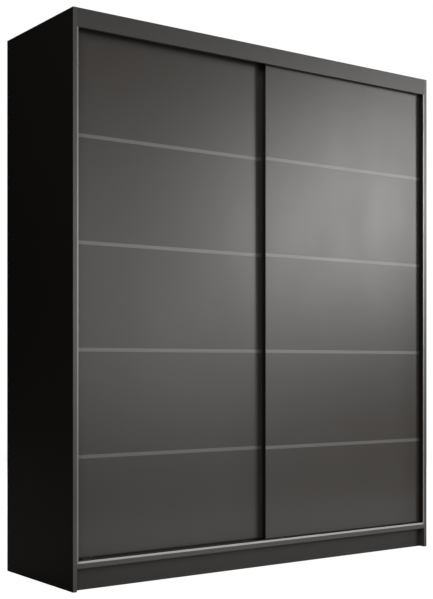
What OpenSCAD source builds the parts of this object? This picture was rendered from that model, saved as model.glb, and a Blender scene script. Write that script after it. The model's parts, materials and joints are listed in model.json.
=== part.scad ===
// Free-standing wardrobe with two sliding doors, decorative inlays and a recessed plinth.
// Millimetres, +Z up.  The origin is the centre of the footprint, on the floor; the doors face -Y.

/* [Cabinet] */
// Overall width
cabinet_w = 1800; // [1500:10:2200]
// Overall height
cabinet_h = 2150; // [1800:10:2600]
// Overall depth
cabinet_d = 580; // [480:10:720]

/* [Boards] */
// Thickness of the carcass boards
board_t = 16; // [15:1:22]
// Thickness of the hardboard back
back_t = 3; // [2.5:0.5:5]
// Thickness of the edge bands
band_t = 1; // [0.5:0.1:2]
// How far the back panels stay inside the outline
back_inset = 2; // [1:0.5:5]

/* [Plinth and fascia] */
// Height of the plinth
plinth_h = 85; // [60:1:120]
// Setback of the front plinth
plinth_recess = 30; // [20:1:80]
// Setback of the rear plinth
rear_plinth_inset = 40; // [10:1:80]
// Height of the fascia over the doors
fascia_h = 70; // [60:1:110]
// Width of the closing strips beside the doors
strip_w = 6; // [5:0.5:20]

/* [Doors] */
// Thickness of the doors
door_t = 16; // [15:1:18]
// Distance between the faces of the two doors
door_pitch = 33; // [32:0.5:45]
// How far the closed doors overlap
door_overlap = 8; // [6:1:40]
// Gap between a closed door and the side panel
door_side_gap = 1; // [0.5:0.1:4]
// Height of the door's lower edge over the bottom board
door_lift = 12; // [12:0.5:16]

/* [Inlays] */
// Number of inlay strips on a door
inlay_count = 4; // [2:1:8]
// Height of an inlay strip
inlay_h = 14; // [6:1:40]
// Thickness of an inlay strip
inlay_t = 1; // [0.5:0.1:2]
// Distance from the door's lower edge up to the middle of the first inlay
inlay_low = 378.5; // [100:0.5:600]
// Distance from the door's upper edge down to the middle of the last inlay
inlay_top = 405.5; // [100:0.5:600]

/* [Door gear] */
// Outer radius of a door wheel
wheel_r = 14; // [13:0.5:15]
// Radius at the bottom of the wheel's groove
groove_r = 11.5; // [10:0.5:12]
// Width of a door wheel
wheel_w = 6.4; // [5.6:0.1:7]
// Width of the wheel's groove
groove_w = 3.4; // [3:0.1:4]
// Radius of the wheel's axle
axle_r = 2.5; // [1.5:0.1:3]
// Distance from the door's edge to the wheel
wheel_inset = 90; // [60:1:160]
// Length of the roller housing
housing_l = 60; // [50:1:80]
// Height of the roller housing
housing_h = 40; // [36:1:60]
// Wood left in front of the roller housing
door_skin = 3.5; // [2.5:0.1:5]
// Thickness of the roller housing's screw flange
flange_t = 1.6; // [1:0.1:2.5]
// Length of a top guide
guide_l = 60; // [40:1:90]
// Distance from the door's edge to the top guide
guide_inset = 110; // [60:1:200]

/* [Tracks] */
// Wall thickness of the tracks
track_t = 2; // [1.5:0.1:3]
// Height of the ribs the wheels run on
rib_h = 7; // [5:0.5:8]
// Width of the ribs
rib_w = 2.2; // [1.6:0.1:2.6]
// Height of the bright lip in front of the lower track
lip_h = 10; // [8:0.5:11]
// Thickness of the lip
lip_t = 2; // [1:0.1:3]
// Height of the upper track
upper_track_h = 28; // [24:1:32]

/* [Interior] */
// Number of shelves on the left
shelf_count = 5; // [2:1:6]
// Setback of the loose shelves from the partition's front edge
shelf_setback = 10; // [0:1:40]
// Gap behind the shelves
shelf_back_gap = 7; // [0:1:30]
// Gap at each end of a loose shelf
shelf_end_gap = 0.5; // [0.3:0.1:2]
// Clear height over the hat shelf
hat_space_h = 338; // [200:1:500]
// Radius of the hanging rail
rail_r = 12.5; // [10:0.5:16]
// Wall thickness of the hanging rail
rail_wall = 1.5; // [1:0.1:2]
// Distance from the hat shelf down to the rail's centre
rail_drop = 62; // [50:1:90]

/* [Wall fixing] */
// Distance between the two wall screws
wall_screw_pitch = 1200; // [600:10:1400]
// Radius of the wall screw holes
wall_screw_r = 2.75; // [2:0.05:4]
// Distance from the top board's underside down to the wall screws
wall_screw_drop = 22; // [14:1:30]

/* [Fittings] */
// Radius of a wooden dowel
dowel_r = 4; // [3:0.5:4]
// Length of a wooden dowel
dowel_l = 30; // [26:1:34]
// Radius of a cam lock
cam_r = 7.5; // [6:0.5:8]
// Distance from the board's end to the cam lock's centre
cam_inset = 34; // [24:1:34]
// Distance of the end dowels from the front and the back of the cabinet
dowel_edge = 170; // [130:5:200]
// Distance of the cam locks from the front and the back of the cabinet
cam_edge = 110; // [95:5:120]
// Distance of the partition's cam locks from its front and back edges
partition_cam_edge = 90; // [50:5:160]
// Radius of a shelf pin
pin_r = 2.5; // [2:0.5:3]

/* [Clearances] */
// Gap between the fascia and the upper track
fascia_gap = 0.5; // [0.2:0.1:3]
// Gap between the closing strips and the front door's face
strip_gap = 2; // [1:0.5:6]
// Gap between a door's upper edge and the upper track
door_top_gap = 6; // [4:0.5:10]
// Gap between the rear door and the partition
inside_gap = 25; // [15:1:60]
// Running gap between wheel groove and rib
wheel_gap = 0.3; // [0.2:0.05:0.5]
// Running gap between a wheel and the side of its slot
wheel_side_gap = 0.8; // [0.5:0.1:1]
// Radial clearance of a wheel on its axle
axle_fit = 0.05; // [0.02:0.01:0.1]
// Gap between a top guide and the track's flange
guide_gap = 0.4; // [0.3:0.1:1]
// Gap between the brush and the rear door
brush_gap = 0.3; // [0.3:0.1:1]
// Radial clearance of dowels, bolts and pins in their holes
drill_fit = 0.05; // [0.02:0.01:0.2]
// Gap around an inserted fitting
insert_gap = 0.2; // [0.1:0.1:0.5]
// Gap between the wheel and its track stop at the end of travel
stop_gap = 0.4; // [0.3:0.1:1]

/* [Hidden] */
$fn = 48;

eps = 0.01;

// Cabinet faces
half_w = cabinet_w / 2;
front_y = -cabinet_d / 2;
back_y = cabinet_d / 2;
frame_back_y = back_y - back_t;
inner_x = half_w - board_t;
inner_w = 2 * inner_x;
floor_z = plinth_h + board_t;
roof_z = cabinet_h - board_t;
fascia_z = cabinet_h - fascia_h;
floor_mid_z = plinth_h + board_t / 2;
roof_mid_z = roof_z + board_t / 2;
plinth_y = front_y + plinth_recess;
rear_plinth_y = frame_back_y - rear_plinth_inset - board_t;

// Each channel of the upper track is centred on its door, and the track lies behind the fascia
channel_w = door_pitch - track_t;
upper_track_y = front_y + board_t + fascia_gap;
upper_track_w = 2 * door_pitch + track_t;

// Door faces: the right door runs in front, the left door behind it
right_door_y = upper_track_y + track_t + channel_w / 2 - door_t / 2;
left_door_y = right_door_y + door_pitch;
door_z = floor_z + door_lift;
door_h = roof_z - upper_track_h - door_top_gap - door_z;
door_w = inner_x + door_overlap / 2 - door_side_gap;
left_door_x = -inner_x + door_side_gap;
right_door_x = inner_x - door_side_gap - door_w;
inlay_pitch = (door_h - inlay_low - inlay_top) / (inlay_count - 1);
strip_d = right_door_y - strip_gap - front_y;
inside_y = left_door_y + door_t + inside_gap;

// Door gear
housing_t = door_t - door_skin;
housing_mid = door_skin + housing_t / 2;
wheel_z = floor_z + track_t + rib_h + wheel_gap + groove_r;
slot_r = wheel_r + 1.5;
flange_wing = 12;
screw_r = 1.5;
screw_head_r = 3;
screw_head_t = 1.4;
screw_l = 12;
flange_screw_zs = [12, housing_h - 10];
guide_plate_t = 2;
guide_plate_setback = 1;
guide_screw_in = 6;
guide_block_l = 36;
guide_neck_t = 8;
guide_neck_l = 28;
guide_block_low_gap = 2;
guide_block_top_gap = 6;

// Tracks
track_end_gap = 0.5;
track_back = 4;
lower_track_l = inner_w - 2 * strip_w - 2 * track_end_gap;
lip_y = front_y + band_t;
lip_foot_w = 10;
lip_foot_t = track_t / 2;
lower_track_y = lip_y + lip_t;
lower_track_w = left_door_y + door_t + track_back - lower_track_y;
stop_l = 20;
stop_w = 10;
stop_h = 8.5;
stop_x = inner_x - door_side_gap - wheel_inset + wheel_r + stop_gap;
upper_screw_end = 60;
lower_screw_end = 30;
upper_screw_xs = [for (i = [-2:2]) i * (inner_w - 2 * upper_screw_end) / 4];
lower_screw_xs = [for (i = [-3:3]) i * (inner_w - 2 * strip_w - 2 * lower_screw_end) / 6];

// Interior: equal spaces between the shelves
shelf_gap = (roof_z - floor_z - shelf_count * board_t) / (shelf_count + 1);
shelf_front_y = inside_y + shelf_setback;
shelf_back_y = frame_back_y - shelf_back_gap;
shelf_x = -inner_x + shelf_end_gap;
shelf_w = inner_x - board_t / 2 - 2 * shelf_end_gap;
pin_in = 9;
pin_out = 7;
pin_front_edge = 60;
pin_back_edge = 70;
pin_ys = [inside_y + pin_front_edge, frame_back_y - pin_back_edge];
hat_shelf_z = roof_z - hat_space_h - board_t;
hat_pin_z = hat_shelf_z - pin_r;
rail_y = (inside_y + frame_back_y) / 2;
rail_z = hat_shelf_z - rail_drop;
socket_t = 3;
socket_depth = 14;
socket_wing = 14;
socket_screw_in = 5.5;

// Fittings
end_ys = [front_y + dowel_edge, back_y - dowel_edge];
cam_ys = [front_y + cam_edge, back_y - cam_edge];
plinth_dowel_zs = [25, plinth_h - 25];
fascia_end_dowel_z = fascia_z + 28;
dowel_in_side = 12;
dowel_relief = 0.5;
cam_t = 12.5;
bolt_in = 11;
bolt_thread_r = 3;
bolt_shank_r = 3.2;
bolt_neck_r = 2.2;
bolt_hole_r = 4;
partition_cam_ys = [inside_y + partition_cam_edge, frame_back_y - partition_cam_edge];
fascia_dowel_xs = [for (i = [0:3]) (upper_screw_xs[i] + upper_screw_xs[i + 1]) / 2];
fascia_dowel_in = 10;
bracket_l = 40;
bracket_w = 30;
bracket_t = 2.5;
bracket_screw_y = frame_back_y - 24;
bracket_screw_x = 7.5;
wall_screw_z = roof_z - wall_screw_drop;
nail_head_r = 3;
nail_head_t = 0.8;
nail_r = 0.8;
nail_l = 22;
nail_rows = 7;

function shelf_z(i) = floor_z + i * shelf_gap + (i - 1) * board_t;

// Dowels at the left and right ends of the cross boards, as [y, z]
end_dowels = concat(
    [for (y = end_ys, z = [floor_mid_z, roof_mid_z]) [y, z]],
    [for (y = [plinth_y, rear_plinth_y], z = plinth_dowel_zs) [y + board_t / 2, z]],
    [[front_y + board_t / 2, fascia_end_dowel_z]]);

// Nail places on one back panel, as [x, z], for the panel on the right
back_low_z = plinth_h + back_inset;
back_high_z = cabinet_h - back_inset;
back_joint = 1;
nail_end = 40;
nail_places = concat(
    [for (x = [board_t / 4, half_w - board_t / 2], i = [0:nail_rows - 1])
        [x, floor_z + nail_end + i * (roof_z - floor_z - 2 * nail_end) / (nail_rows - 1)]],
    [for (i = [1:3], z = [floor_mid_z, roof_mid_z]) [half_w * i / 4, z]]);

// ---------------------------------------------------------------- shared shapes

// A board from one corner to the opposite one
module slab(low, high) {
    translate(low) cube(high - low);
}

// A round bar along X, Y or Z, starting at a point
module bar_x(at, r, l) { translate(at) rotate([0, 90, 0]) cylinder(r = r, h = l); }
module bar_y(at, r, l) { translate(at) rotate([-90, 0, 0]) cylinder(r = r, h = l); }
module bar_z(at, r, l) { translate(at) cylinder(r = r, h = l); }

// A wooden dowel along Z, with chamfered ends
module dowel(l = dowel_l) {
    chamfer = 1;
    cylinder(r1 = dowel_r - chamfer, r2 = dowel_r, h = chamfer);
    translate([0, 0, chamfer]) cylinder(r = dowel_r, h = l - 2 * chamfer);
    translate([0, 0, l - chamfer]) cylinder(r1 = dowel_r, r2 = dowel_r - chamfer, h = chamfer);
}

// A countersunk wood screw whose head is flush at z = 0 and whose shank points down
module wood_screw(l = screw_l) {
    difference() {
        union() {
            translate([0, 0, -screw_head_t])
                cylinder(r1 = screw_r, r2 = screw_head_r, h = screw_head_t);
            translate([0, 0, -l]) cylinder(r = screw_r, h = l - screw_head_t + eps);
        }
        for (turn = [0, 90])
            rotate([0, 0, turn]) translate([-1.8, -0.4, -0.7]) cube([3.6, 0.8, 1]);
    }
}

// The hole that such a screw passes through, for plates of thickness t
module screw_hole(t) {
    translate([0, 0, -screw_head_t])
        cylinder(r1 = screw_r, r2 = screw_head_r, h = screw_head_t);
    translate([0, 0, -t - eps]) cylinder(r = screw_r, h = t + eps);
    cylinder(r = screw_head_r, h = 1);
}

// ---------------------------------------------------------------- carcass boards

// Holes in a side panel for everything that enters it, drawn for the right side
module side_drillings() {
    for (d = end_dowels)
        bar_x([inner_x - eps, d[0], d[1]], dowel_r + drill_fit, dowel_in_side + dowel_relief);
    for (y = cam_ys, z = [floor_mid_z, roof_mid_z])
        bar_x([inner_x - eps, y, z], bolt_thread_r + drill_fit, bolt_in + dowel_relief);
}

// Holes for shelf pins: a panel face at x, drilled towards +X or -X
module pin_drillings(x, towards, heights) {
    for (y = pin_ys, z = heights)
        translate([x, y, z]) rotate([0, 90 * towards, 0])
            translate([0, 0, -eps]) cylinder(r = pin_r + drill_fit, h = pin_in + eps);
}

shelf_pin_zs = [for (i = [1:shelf_count]) shelf_z(i) - pin_r];

module left_side_panel() {
    color([0.16, 0.15, 0.14]) difference() {
        slab([-half_w, front_y + band_t, 0], [-inner_x, frame_back_y, cabinet_h]);
        mirror([1, 0, 0]) side_drillings();
        pin_drillings(-inner_x, -1, shelf_pin_zs);
    }
}

module right_side_panel() {
    color([0.16, 0.15, 0.14]) difference() {
        slab([inner_x, front_y + band_t, 0], [half_w, frame_back_y, cabinet_h]);
        side_drillings();
        pin_drillings(inner_x, 1, [hat_pin_z]);
    }
}

// Dowel holes at both ends of a cross board
module end_drillings(places) {
    for (s = [0, 1], d = places)
        mirror([s, 0, 0])
            bar_x([inner_x - (dowel_l - dowel_in_side) - dowel_relief, d[0], d[1]],
                dowel_r + drill_fit, dowel_l);
}

// Cam pockets and bolt holes at both ends of a horizontal board; face is the cam's outer face
module cam_drillings(mid_z, face_z, into) {
    for (s = [0, 1], y = cam_ys) mirror([s, 0, 0]) {
        translate([inner_x - cam_inset, y, face_z - (into > 0 ? eps : cam_t + insert_gap)])
            cylinder(r = cam_r, h = cam_t + insert_gap + eps);
        bar_x([inner_x - cam_inset, y, mid_z], bolt_hole_r, cam_inset + eps);
    }
}

// Holes for the partition's cam bolts, from the face of a horizontal board
module partition_bolt_drillings(z) {
    for (y = partition_cam_ys)
        bar_z([0, y, z], bolt_thread_r + drill_fit, bolt_in + dowel_relief);
}

module top_panel() {
    color([0.17, 0.16, 0.15]) difference() {
        slab([-inner_x, front_y + board_t, roof_z], [inner_x, frame_back_y, cabinet_h]);
        end_drillings([for (y = end_ys) [y, roof_mid_z]]);
        cam_drillings(roof_mid_z, cabinet_h, -1);
        partition_bolt_drillings(roof_z - eps);
        for (x = fascia_dowel_xs)
            bar_y([x, front_y + board_t - eps, roof_mid_z], dowel_r + drill_fit,
                dowel_l - fascia_dowel_in + dowel_relief);
    }
}

module bottom_panel() {
    color([0.17, 0.16, 0.15]) difference() {
        slab([-inner_x, front_y + band_t, plinth_h], [inner_x, frame_back_y, floor_z]);
        end_drillings([for (y = end_ys) [y, floor_mid_z]]);
        cam_drillings(floor_mid_z, plinth_h, 1);
        partition_bolt_drillings(floor_z - bolt_in - dowel_relief + eps);
    }
}

module centre_partition() {
    color([0.17, 0.16, 0.15]) difference() {
        slab([-board_t / 2, inside_y, floor_z], [board_t / 2, frame_back_y, roof_z]);
        pin_drillings(-board_t / 2, 1, shelf_pin_zs);
        pin_drillings(board_t / 2, -1, [hat_pin_z]);
        for (y = partition_cam_ys, z = [floor_z + cam_inset, roof_z - cam_inset]) {
            bar_x([board_t / 2 - cam_t - insert_gap, y, z], cam_r, cam_t + insert_gap + eps);
            bar_z([0, y, z < cabinet_h / 2 ? floor_z - eps : z], bolt_hole_r, cam_inset + eps);
        }
    }
}

module front_plinth() {
    color([0.14, 0.135, 0.13]) difference() {
        slab([-inner_x, plinth_y, 0], [inner_x, plinth_y + board_t, plinth_h]);
        end_drillings([for (z = plinth_dowel_zs) [plinth_y + board_t / 2, z]]);
    }
}

module rear_plinth() {
    color([0.14, 0.135, 0.13]) difference() {
        slab([-inner_x, rear_plinth_y, 0], [inner_x, rear_plinth_y + board_t, plinth_h]);
        end_drillings([for (z = plinth_dowel_zs) [rear_plinth_y + board_t / 2, z]]);
    }
}

module plinth_brace() {
    color([0.14, 0.135, 0.13])
        slab([-board_t / 2, plinth_y + board_t, 0], [board_t / 2, rear_plinth_y, plinth_h]);
}

module top_fascia() {
    color([0.26, 0.25, 0.24]) difference() {
        slab([-inner_x, front_y, fascia_z], [inner_x, front_y + board_t, cabinet_h]);
        end_drillings([[front_y + board_t / 2, fascia_end_dowel_z]]);
        for (x = fascia_dowel_xs)
            bar_y([x, front_y + board_t - fascia_dowel_in - dowel_relief, roof_mid_z],
                dowel_r + drill_fit, fascia_dowel_in + dowel_relief + eps);
    }
}

// Bands on the front edges of the two sides and the bottom board.
// The lower one also covers the edge of the lower track, between the closing strips.
module front_edge_bands() {
    color([0.24, 0.23, 0.22]) {
        for (s = [0, 1])
            mirror([s, 0, 0]) slab([inner_x, front_y, 0], [half_w, front_y + band_t, cabinet_h]);
        slab([-inner_x, front_y, plinth_h], [inner_x, front_y + band_t, floor_z]);
        slab([-lower_track_l / 2, front_y, floor_z - eps],
            [lower_track_l / 2, front_y + band_t, floor_z + track_t]);
    }
}

// ---------------------------------------------------------------- back

// One hardboard back panel, drawn for the right half
module back_panel() {
    difference() {
        slab([back_joint / 2, frame_back_y, back_low_z], [half_w - back_inset, back_y, back_high_z]);
        for (n = nail_places) {
            bar_y([n[0], frame_back_y - eps, n[1]], nail_r + drill_fit, back_t + 2 * eps);
            bar_y([n[0], back_y - nail_head_t, n[1]], nail_head_r + drill_fit, nail_head_t + eps);
        }
        bar_y([wall_screw_pitch / 2, frame_back_y - eps, wall_screw_z], wall_screw_r, back_t + 2 * eps);
    }
}

module left_back_panel() {
    color([0.42, 0.33, 0.25]) mirror([1, 0, 0]) back_panel();
}

module right_back_panel() {
    color([0.42, 0.33, 0.25]) back_panel();
}

module back_nails() {
    color([0.7, 0.7, 0.72]) for (s = [0, 1], n = nail_places) mirror([s, 0, 0]) {
        bar_y([n[0], back_y - nail_head_t, n[1]], nail_head_r, nail_head_t);
        bar_y([n[0], back_y - nail_l, n[1]], nail_r, nail_l - nail_head_t + eps);
    }
}

// ---------------------------------------------------------------- tracks and trims

// A closing strip with a rounded inner front edge, drawn for the right side
module closing_strip() {
    round_r = 2;
    translate([0, 0, floor_z]) linear_extrude(fascia_z - floor_z) union() {
        translate([inner_x - strip_w, front_y + round_r]) square([strip_w, strip_d - round_r]);
        translate([inner_x - strip_w + round_r, front_y]) square([strip_w - round_r, round_r + eps]);
        translate([inner_x - strip_w + round_r, front_y + round_r]) circle(r = round_r);
    }
}

module left_closing_strip() {
    color([0.52, 0.51, 0.5]) mirror([1, 0, 0]) closing_strip();
}

module right_closing_strip() {
    color([0.52, 0.51, 0.5]) closing_strip();
}

// The upper track: two channels, open downwards, under the top board
module upper_track() {
    track_l = inner_w - 2 * track_end_gap;
    color([0.62, 0.62, 0.62]) difference() {
        translate([-track_l / 2, upper_track_y, roof_z - upper_track_h])
            cube([track_l, upper_track_w, upper_track_h]);
        for (i = [0, 1])
            translate([-half_w, upper_track_y + track_t + i * door_pitch, roof_z - upper_track_h - eps])
                cube([cabinet_w, channel_w, upper_track_h - track_t + eps]);
        for (x = upper_screw_xs, i = [0, 1])
            translate([x, upper_track_y + track_t + channel_w / 2 + i * door_pitch, roof_z - track_t])
                rotate([180, 0, 0]) screw_hole(track_t + eps);
    }
}

// The lower track: a flat base with a rib under each door, between the closing strips
module lower_track() {
    color([0.07, 0.07, 0.07]) difference() {
        translate([-lower_track_l / 2, lower_track_y, floor_z]) union() {
            cube([lower_track_l, lower_track_w, track_t]);
            for (y = [right_door_y, left_door_y])
                translate([0, y - lower_track_y + housing_mid - rib_w / 2, track_t - eps])
                    cube([lower_track_l, rib_w, rib_h + eps]);
        }
        translate([-half_w, lower_track_y - eps, floor_z - eps])
            cube([cabinet_w, lip_foot_w + eps, lip_foot_t + eps]);
        for (x = lower_screw_xs)
            translate([x, (right_door_y + left_door_y) / 2 + housing_mid, floor_z + track_t])
                screw_hole(track_t + eps);
    }
}

// The bright lip in front of the lower track, with a foot clamped under the track's base
module track_lip() {
    color([0.66, 0.66, 0.65]) translate([-lower_track_l / 2, lip_y, floor_z]) {
        cube([lower_track_l, lip_t, lip_h]);
        cube([lower_track_l, lip_t + lip_foot_w, lip_foot_t]);
    }
}

module track_screws() {
    color([0.75, 0.75, 0.76]) {
        for (x = upper_screw_xs, i = [0, 1])
            translate([x, upper_track_y + track_t + channel_w / 2 + i * door_pitch, roof_z - track_t])
                rotate([180, 0, 0]) wood_screw();
        for (x = lower_screw_xs)
            translate([x, (right_door_y + left_door_y) / 2 + housing_mid, floor_z + track_t])
                wood_screw();
    }
}

// Stops clipped over both ends of each rib
module track_stops() {
    color([0.08, 0.08, 0.08])
        for (s = [0, 1], y = [right_door_y, left_door_y]) mirror([s, 0, 0]) difference() {
            translate([stop_x, y + housing_mid - stop_w / 2, floor_z + track_t])
                cube([stop_l, stop_w, stop_h]);
            translate([stop_x - eps, y + housing_mid - rib_w / 2 - insert_gap / 2, floor_z])
                cube([stop_l + 2 * eps, rib_w + insert_gap, track_t + rib_h + insert_gap / 2]);
        }
}

// ---------------------------------------------------------------- interior

// A loose shelf on the left, numbered from the bottom
module shelf(i) {
    color([0.2, 0.19, 0.18])
        slab([shelf_x, shelf_front_y, shelf_z(i)], [shelf_x + shelf_w, shelf_back_y, shelf_z(i) + board_t]);
}

module hat_shelf() {
    color([0.2, 0.19, 0.18])
        slab([-shelf_x - shelf_w, shelf_front_y, hat_shelf_z],
            [-shelf_x, shelf_back_y, hat_shelf_z + board_t]);
}

// A pin in a panel face at x, standing out along towards
module shelf_pin(x, y, z, towards) {
    translate([x, y, z]) rotate([0, 90 * towards, 0]) translate([0, 0, -pin_in + 0.5]) {
        cylinder(r = pin_r, h = pin_in + pin_out - 1.5);
        translate([0, 0, pin_in + pin_out - 1.5]) cylinder(r1 = pin_r, r2 = pin_r - 1, h = 1);
    }
}

module shelf_pins() {
    color([0.72, 0.72, 0.74]) {
        for (y = pin_ys, z = shelf_pin_zs) {
            shelf_pin(-inner_x, y, z, 1);
            shelf_pin(-board_t / 2, y, z, -1);
        }
        for (y = pin_ys) {
            shelf_pin(inner_x, y, hat_pin_z, -1);
            shelf_pin(board_t / 2, y, hat_pin_z, 1);
        }
    }
}

module hanging_rail() {
    low_x = board_t / 2 + socket_t;
    color([0.8, 0.8, 0.82]) difference() {
        bar_x([low_x, rail_y, rail_z], rail_r, inner_x - socket_t - low_x);
        bar_x([low_x - 1, rail_y, rail_z], rail_r - rail_wall, inner_x - low_x);
    }
}

// A rail socket whose flange lies on z = 0 and whose collar points up
module rail_socket() {
    collar_wall = 2.5;
    flange_r = rail_r + socket_wing;
    difference() {
        union() {
            cylinder(r = flange_r, h = socket_t);
            cylinder(r = rail_r + drill_fit + collar_wall, h = socket_depth);
        }
        translate([0, 0, socket_t]) cylinder(r = rail_r + drill_fit, h = socket_depth);
        for (s = [-1, 1])
            translate([s * (flange_r - socket_screw_in), 0, socket_t]) screw_hole(socket_t + eps);
    }
}

// Both rail sockets' places: on the partition and on the right side panel
module at_rail_ends() {
    translate([board_t / 2, rail_y, rail_z]) rotate([0, 90, 0]) children();
    translate([inner_x, rail_y, rail_z]) rotate([0, -90, 0]) children();
}

module rail_sockets() {
    color([0.75, 0.75, 0.77]) at_rail_ends() rail_socket();
}

module rail_socket_screws() {
    color([0.7, 0.7, 0.72]) at_rail_ends()
        for (s = [-1, 1])
            translate([s * (rail_r + socket_wing - socket_screw_in), 0, socket_t]) wood_screw();
}

// ---------------------------------------------------------------- joinery

module dowels() {
    color([0.78, 0.66, 0.47]) {
        for (s = [0, 1], d = end_dowels)
            mirror([s, 0, 0])
                translate([inner_x - (dowel_l - dowel_in_side), d[0], d[1]]) rotate([0, 90, 0]) dowel();
        for (x = fascia_dowel_xs)
            translate([x, front_y + board_t - fascia_dowel_in, roof_mid_z]) rotate([-90, 0, 0]) dowel();
    }
}

// A cam lock with its face at z = 0, its body below and its bolt coming in along +X
module cam_lock(bolt_depth) {
    difference() {
        translate([0, 0, -cam_t]) cylinder(r = cam_r - 0.05, h = cam_t);
        translate([-4.5, 0, -bolt_depth]) rotate([0, 90, 0]) cylinder(r = bolt_hole_r - 0.2, h = cam_r + 5);
        for (turn = [0, 90])
            rotate([0, 0, turn]) translate([-4, -0.6, -2]) cube([8, 1.2, 3]);
    }
}

// A cam bolt along +X: its head at the cam's centre, its thread in the next board
module cam_bolt() {
    head_l = 3;
    rotate([0, 90, 0]) {
        translate([0, 0, -head_l / 2]) cylinder(r = bolt_shank_r, h = head_l);
        translate([0, 0, head_l / 2 - eps]) cylinder(r = bolt_neck_r, h = 4);
        translate([0, 0, head_l / 2 + 3]) cylinder(r = bolt_shank_r, h = cam_inset - head_l / 2 - 3);
        translate([0, 0, cam_inset - eps]) cylinder(r = bolt_thread_r, h = bolt_in);
    }
}

// Places of the cams: outside faces of top and bottom board, right face of the partition
module at_board_cams(mid_z) {
    for (s = [0, 1], y = cam_ys) mirror([s, 0, 0]) translate([inner_x - cam_inset, y, mid_z]) children();
}

module at_partition_cams() {
    for (y = partition_cam_ys) {
        translate([0, y, floor_z + cam_inset]) rotate([0, 90, 0]) children();
        translate([0, y, roof_z - cam_inset]) rotate([0, -90, 0]) children();
    }
}

module cam_locks() {
    color([0.66, 0.66, 0.68]) {
        at_board_cams(roof_mid_z) translate([0, 0, board_t / 2]) cam_lock(board_t / 2);
        at_board_cams(floor_mid_z) translate([0, 0, -board_t / 2]) mirror([0, 0, 1]) cam_lock(board_t / 2);
        for (y = partition_cam_ys, up = [0, 1])
            translate([board_t / 2, y, up == 1 ? roof_z - cam_inset : floor_z + cam_inset])
                rotate([0, 90, 0]) mirror([up, 0, 0]) cam_lock(board_t / 2);
    }
}

module cam_bolts() {
    color([0.74, 0.72, 0.66]) {
        at_board_cams(roof_mid_z) cam_bolt();
        at_board_cams(floor_mid_z) cam_bolt();
        at_partition_cams() cam_bolt();
    }
}

// ---------------------------------------------------------------- wall fixing

// An angle bracket under the top board, against the back panel
module wall_bracket() {
    difference() {
        union() {
            slab([-bracket_w / 2, frame_back_y - bracket_l, roof_z - bracket_t],
                [bracket_w / 2, frame_back_y, roof_z]);
            slab([-bracket_w / 2, frame_back_y - bracket_t, roof_z - bracket_l],
                [bracket_w / 2, frame_back_y, roof_z]);
        }
        bar_y([0, frame_back_y - bracket_t - eps, wall_screw_z], wall_screw_r, bracket_t + 2 * eps);
        for (x = [-1, 1])
            translate([x * bracket_screw_x, bracket_screw_y, roof_z - bracket_t])
                rotate([180, 0, 0]) screw_hole(bracket_t + eps);
    }
}

module wall_brackets() {
    color([0.72, 0.72, 0.74])
        for (s = [-1, 1]) translate([s * wall_screw_pitch / 2, 0, 0]) wall_bracket();
}

module wall_bracket_screws() {
    color([0.7, 0.7, 0.72])
        for (s = [-1, 1], x = [-1, 1])
            translate([s * wall_screw_pitch / 2 + x * bracket_screw_x, bracket_screw_y,
                roof_z - bracket_t]) rotate([180, 0, 0]) wood_screw();
}

// ---------------------------------------------------------------- doors
// A door is drawn with its lower left front corner at the origin; place_door() sets it in its track.

module place_door(side) {
    translate([side == "left" ? left_door_x : right_door_x,
        side == "left" ? left_door_y : right_door_y, door_z]) children();
}

// Distances of the two wheels, and of the two guides, from the door's left edge
wheel_xs = [wheel_inset, door_w - wheel_inset];
guide_xs = [guide_inset, door_w - guide_inset];
wheel_up = wheel_z - door_z;

// Pockets in the lower edge, open to the back, for the roller housings
module housing_pockets() {
    for (x = wheel_xs)
        translate([x - housing_l / 2 - insert_gap, door_skin, -eps])
            cube([housing_l + 2 * insert_gap, door_t, housing_h + insert_gap + eps]);
}

module door_board(side) {
    color([0.3, 0.29, 0.28]) place_door(side) difference() {
        slab([band_t, 0, band_t], [door_w - band_t, door_t, door_h - band_t]);
        housing_pockets();
        for (i = [0:inlay_count - 1])
            translate([0, -eps, inlay_low + i * inlay_pitch - inlay_h / 2])
                cube([door_w, inlay_t + eps, inlay_h]);
    }
}

module door_edge_bands(side) {
    color([0.32, 0.31, 0.3]) place_door(side) difference() {
        slab([0, 0, 0], [door_w, door_t, door_h]);
        translate([band_t, -1, band_t]) cube([door_w - 2 * band_t, door_t + 2, door_h - 2 * band_t]);
        housing_pockets();
    }
}

module door_inlays(side) {
    color([0.42, 0.41, 0.4]) place_door(side)
        for (i = [0:inlay_count - 1])
            translate([band_t, 0, inlay_low + i * inlay_pitch - inlay_h / 2])
                cube([door_w - 2 * band_t, inlay_t, inlay_h]);
}

// A roller housing: a body in the door's pocket and a screw flange on the door's back
module roller_housing() {
    slot_w = wheel_w + 2 * wheel_side_gap;
    difference() {
        union() {
            translate([-housing_l / 2, door_skin, 0]) cube([housing_l, housing_t, housing_h]);
            translate([-housing_l / 2 - flange_wing, door_t, 0])
                cube([housing_l + 2 * flange_wing, flange_t, housing_h]);
        }
        bar_y([0, housing_mid - slot_w / 2, wheel_up], slot_r, slot_w);
        translate([-slot_r, housing_mid - slot_w / 2, -eps]) cube([2 * slot_r, slot_w, wheel_up + eps]);
        bar_y([0, door_skin - eps, wheel_up], axle_r, housing_t + flange_t + 2 * eps);
        for (s = [-1, 1], z = flange_screw_zs)
            translate([s * (housing_l / 2 + flange_wing / 2), door_t + flange_t, z])
                rotate([-90, 0, 0]) screw_hole(flange_t + eps);
    }
}

module door_roller_housings(side) {
    color([0.1, 0.1, 0.1]) place_door(side) for (x = wheel_xs) translate([x, 0, 0]) roller_housing();
}

module door_roller_axles(side) {
    color([0.75, 0.75, 0.76]) place_door(side)
        for (x = wheel_xs) bar_y([x, door_skin, wheel_up], axle_r, housing_t + flange_t);
}

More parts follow.
